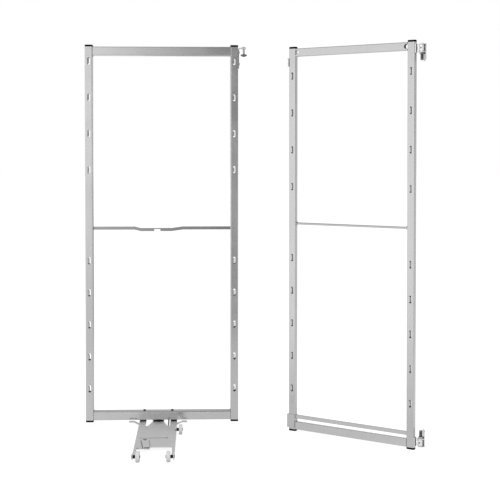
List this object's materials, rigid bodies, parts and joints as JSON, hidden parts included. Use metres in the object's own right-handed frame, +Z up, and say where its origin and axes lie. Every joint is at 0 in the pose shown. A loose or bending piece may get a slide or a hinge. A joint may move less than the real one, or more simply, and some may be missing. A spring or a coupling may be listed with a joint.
{
  "type": "pull-out pantry frame",
  "caption": "Pull-out larder fitting: a tall sliding tray frame on a low roller carriage, with a matching hinged door frame and its pivot bearings.",
  "frame": {"origin": "centre of the lower bearing's two screw holes, on the face that lies against the cabinet side", "axes": "+X out of the lower bearing into the cabinet side, +Y the way the inner frame pulls out, +Z up"},
  "size_m": [0.9426, 0.481, 1.122],
  "materials": {
    "silver_frame": "satin silver lacquer on steel tube",
    "bright_steel": "bright zinc plated pressed steel",
    "dark_steel": "dark zinc plated steel",
    "black_caps": "moulded black plastic",
    "black_plastic": "moulded black plastic",
    "white_nylon": "white nylon",
    "grey_nylon": "dark grey nylon",
    "bush_plastic": "pale bearing plastic"
  },
  "bodies": {
    "cabinet_bearings": {"lower_bearing_bracket": "bright_steel", "lower_pivot_stud": "dark_steel", "lower_lock_nut": "bright_steel", "upper_bearing_bracket": "bright_steel", "upper_pivot_stud": "dark_steel", "upper_lock_nut": "bright_steel"},
    "door_frame": {"door_left_upright": "silver_frame", "door_right_upright": "silver_frame", "door_top_bar": "silver_frame", "door_bottom_bar": "silver_frame", "door_low_rail": "silver_frame", "door_middle_rod": "silver_frame", "door_rod_collars": "silver_frame", "door_link_plate": "bright_steel", "door_foot_sleeve": "silver_frame", "door_left_bottom_cap": "black_caps", "door_left_top_cap": "black_caps", "door_right_bottom_cap": "black_caps", "door_right_top_cap": "black_caps", "lower_pivot_arm": "bright_steel", "lower_pivot_bush": "bush_plastic", "lower_set_screw": "dark_steel", "upper_pivot_arm": "bright_steel", "upper_pivot_bush": "bush_plastic", "upper_set_screw": "dark_steel"},
    "inner_frame": {"inner_left_upright": "silver_frame", "inner_right_upright": "silver_frame", "inner_top_bar": "silver_frame", "inner_bottom_bar": "silver_frame", "inner_middle_bar": "silver_frame", "inner_left_bottom_cap": "black_caps", "inner_left_top_cap": "black_caps", "inner_right_bottom_cap": "black_caps", "inner_right_top_cap": "black_caps", "guide_bracket": "bright_steel", "guide_rivets": "bright_steel", "guide_pin": "bright_steel", "carriage_plate": "bright_steel", "carriage_spacers": "black_plastic", "carriage_centre_pad": "black_plastic", "carriage_bolts": "dark_steel", "carriage_nuts": "bright_steel", "carriage_stay_rod": "dark_steel", "latch_pin": "bright_steel", "left_roller_axle": "bright_steel", "left_roller_axle_collar": "black_plastic", "right_roller_axle": "bright_steel", "right_roller_axle_collar": "black_plastic", "side_roller_axle": "bright_steel", "side_roller_axle_collar": "black_plastic"},
    "left_roller": {"left_roller": "white_nylon"},
    "right_roller": {"right_roller": "white_nylon"},
    "side_roller": {"side_roller": "white_nylon"},
    "guide_roller": {"guide_roller": "grey_nylon"},
    "latch_lever": {"latch_lever": "bright_steel"}
  },
  "joints": [
    {"name": "door_swing", "type": "hinge", "parent": "cabinet_bearings", "child": "door_frame", "pos_m": [-0.0105, -0.014, 0], "axis": [0, 0, 1], "range_deg": [-51.3, 38.7]},
    {"name": "inner_slide", "type": "slide", "parent": "cabinet_bearings", "child": "inner_frame", "axis": [0, 1, 0], "range_m": [0, 0.4]},
    {"name": "left_roller_spin", "type": "hinge", "parent": "inner_frame", "child": "left_roller", "pos_m": [-0.7696, -0.1106, -0.0195], "axis": [1, 0, 0], "continuous": true},
    {"name": "right_roller_spin", "type": "hinge", "parent": "inner_frame", "child": "right_roller", "pos_m": [-0.6896, -0.1106, -0.0195], "axis": [1, 0, 0], "continuous": true},
    {"name": "side_roller_spin", "type": "hinge", "parent": "inner_frame", "child": "side_roller", "pos_m": [-0.6622, 0.2114, -0.0195], "axis": [1, 0, 0], "continuous": true},
    {"name": "guide_roller_spin", "type": "hinge", "parent": "inner_frame", "child": "guide_roller", "pos_m": [-0.4766, 0.3409, 1.059], "axis": [0, 0, 1], "continuous": true},
    {"name": "latch_turn", "type": "hinge", "parent": "inner_frame", "child": "latch_lever", "pos_m": [-0.7586, 0.0809, -0.0195], "axis": [0, 0, 1], "range_deg": [0, 40]}
  ]
}
